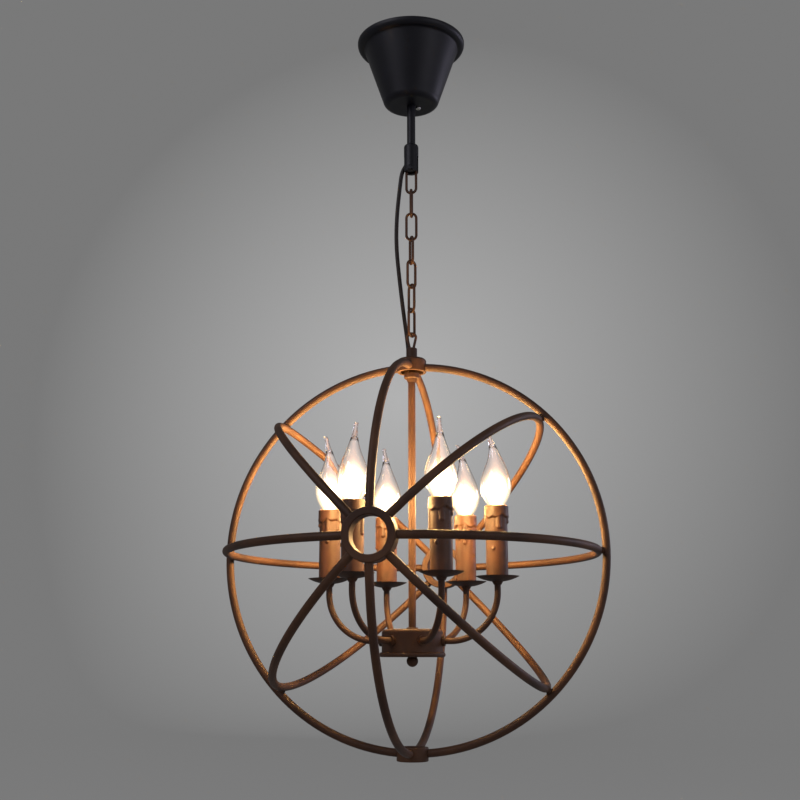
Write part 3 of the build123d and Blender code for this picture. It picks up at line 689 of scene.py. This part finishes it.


# %% [markdown]
# ## Room, lamps and floor
# The chandelier is shown in plain light: three large soft lamps, a faint sky and a pale grey
# floor that curves up into a wall far behind. What the lens, gloss and glass see of the backdrop
# is a tone painted into it: mid grey, and paler in a round patch behind the chandelier, a
# painted pool of light as when a studio lamp is turned on the wall. Part of the matt paint
# stays, so the floor keeps its shadow.

# %% Floor and backdrop
WALL_TONE = "#7B7B7B"                                         # away from the patch
FLOOR_DROP = 0.62                                             # below the cage's centre
FLOOR_Z = CENTRE.z - FLOOR_DROP
ROOM = 8.0                                                    # from the middle to the walls
WALL_HEIGHT = 12.0
BEND_R, BEND_STEPS = 2.0, 16                                  # between floor and wall
# Middle and reach of the painted pool of lamp light on the backdrop.
aim_length = (ROOM - camera.location.y) / aim.y
PAINTED_LIGHT_POOL = camera.location + aim * aim_length                    # in the middle of the picture
PAINTED_LIGHT_REACH = aim_length * SENSOR_MM / 2 / LENS_MM            # half of the picture's width


def seen_directly(tree):
    """1 for rays from the lens, off gloss or through glass."""
    path = add(tree, "ShaderNodeLightPath")
    total = path.outputs["Is Camera Ray"]
    for kind in ("Is Glossy Ray", "Is Transmission Ray"):
        total = add(tree, "ShaderNodeMath", {0: total, 1: path.outputs[kind]},
                    operation="MAXIMUM").outputs[0]
    return total


def shown(tree, light, seen, factor):
    """Mixes a shader that lights the room with one that is seen, by this factor."""
    return add(tree, "ShaderNodeMixShader",
               {"Fac": factor, 1: light.outputs[0], 2: seen.outputs[0]}).outputs[0]


def backdrop_paint(name, paint, edge, centre, share):
    """Matt paint, of which this share shows a painted tone, paler round the patch as painted lamp
    light.
    """
    material = bpy.data.materials.new(name)
    tree = empty_tree(material)
    matte = add(tree, "ShaderNodeBsdfDiffuse", {"Color": linear(paint)})
    where = add(tree, "ShaderNodeTexCoord").outputs["Object"]
    # Painted light: the directly seen tone is paler nearer the pool's middle, as lamp light would
    # make it.
    away = add(tree, "ShaderNodeVectorMath", {0: where, 1: PAINTED_LIGHT_POOL}, operation="DISTANCE")
    out = add(tree, "ShaderNodeMapRange",
              {"Value": away.outputs["Value"], "From Max": PAINTED_LIGHT_REACH}).outputs["Result"]
    tone = add(tree, "ShaderNodeEmission", {"Color": ramp(tree, out, (0.0, centre), (1.0, edge))})
    factor = band(tree, seen_directly(tree), 0.0, share)
    add(tree, "ShaderNodeOutputMaterial", {"Surface": shown(tree, matte, tone, factor)})
    return material


def sweep_backdrop():
    """A floor that rises in a quarter round to a wall, made by extruding one line."""
    work = bmesh.new()
    turns = [pi / 2 * i / BEND_STEPS for i in range(1, BEND_STEPS + 1)]
    run = [(-ROOM, 0.0), (ROOM - BEND_R, 0.0)]
    run += [(ROOM - BEND_R + BEND_R * sin(t), BEND_R - BEND_R * cos(t)) for t in turns]
    run += [(ROOM, WALL_HEIGHT)]
    points = [work.verts.new((-ROOM, y, FLOOR_Z + z)) for y, z in run]
    edges = [work.edges.new(pair) for pair in zip(points, points[1:])]
    grown = bmesh.ops.extrude_edge_only(work, edges=edges)
    moved = [item for item in grown["geom"] if isinstance(item, bmesh.types.BMVert)]
    bmesh.ops.translate(work, verts=moved, vec=(2 * ROOM, 0, 0))
    paint = backdrop_paint("pale_grey_backdrop", "#C9C9C9", WALL_TONE, "#BEBEBE", 0.8)
    thing = placed("backdrop", smooth_mesh("backdrop", work, paint))


sweep_backdrop()
print("floor", round(FLOOR_Z, 3), "patch", [round(x, 2) for x in PAINTED_LIGHT_POOL])


# %% Lamps and sky
def soft_lamp(name, place, size, watts, colour):
    """A round lamp that points at the cage's centre."""
    lamp = bpy.data.lights.new(name, "AREA")
    lamp.shape, lamp.size, lamp.energy = "DISK", size, watts
    lamp.color = linear(colour)[:3]
    thing = placed(name, lamp)
    thing.location = CENTRE + Vector(place)
    thing.rotation_euler = (CENTRE - thing.location).to_track_quat("-Z", "Y").to_euler()


soft_lamp("key", (-1.4, -2.0, 1.5), 1.6, 28, "#ECEAF8")
soft_lamp("fill", (2.2, -1.2, 0.6), 1.8, 13, "#ECEAF8")
soft_lamp("side", (2.1, 1.5, 0.5), 1.0, 16, "#DEDAF6")
world = bpy.data.worlds.new("studio")
tree = empty_tree(world)
sky = add(tree, "ShaderNodeBackground", {"Color": linear("#C8C8C8"), "Strength": 0.5})
tone = add(tree, "ShaderNodeBackground", {"Color": linear(WALL_TONE), "Strength": 1.0})
add(tree, "ShaderNodeOutputWorld", {"Surface": shown(tree, sky, tone, seen_directly(tree))})
bpy.context.scene.world = world
bpy.context.scene.view_settings.view_transform = "Standard"


# %% [markdown]
# ## Light from the filaments
# The glow on the glass shows what the eye sees of a filament, and a small warm lamp inside each
# bulb gives the light that it throws on the metal. Cycles' direct light doesn't pass through
# glass, so the glass is taken off the list of what blocks these lamps. While the cage hangs
# straight down their light ends short of the canopy, which the photograph shows untouched by
# it. Each lamp is a child of its bulb, so it goes where the bulb goes.

# %% Filament lamps
FILAMENT_WATTS = 2.6
FILAMENT_UP, FILAMENT_R = 24 * MM, 7 * MM       # above the sleeve's top, and its radius
FADE_FROM, FADE_TO = 0.34, 0.48                 # distances between which the light ends

clear_of = bpy.data.collections.new("lets_filament_light_through")
for k in range(CANDLES):
    clear_of.objects.link(bpy.data.objects[f"flame_bulb_{k + 1}"])
for entry in clear_of.collection_objects:
    entry.light_linking.link_state = "EXCLUDE"

filament = bpy.data.lights.new("filament", "POINT")
filament.energy, filament.shadow_soft_size = FILAMENT_WATTS, FILAMENT_R
filament.color = linear("#FFCE84")[:3]
filament.use_nodes = True
tree = filament.node_tree
reach = add(tree, "ShaderNodeMapRange",
            {"Value": add(tree, "ShaderNodeLightPath").outputs["Ray Length"],
             "From Min": FADE_FROM, "From Max": FADE_TO, "To Min": 1.0, "To Max": 0.0})
tree.links.new(reach.outputs["Result"], tree.nodes["Emission"].inputs["Strength"])
for k, spot in enumerate(CANDLE_AXES):
    thing = placed(f"filament_{k + 1}", filament)
    thing.location = spot + Vector((0, 0, SLEEVE_HIGH + FILAMENT_UP))
    thing.visible_camera = thing.visible_transmission = False
    thing.light_linking.blocker_collection = clear_of
    thing.parent = bpy.data.objects[f"flame_bulb_{k + 1}"]
print("filament lamps", CANDLES)
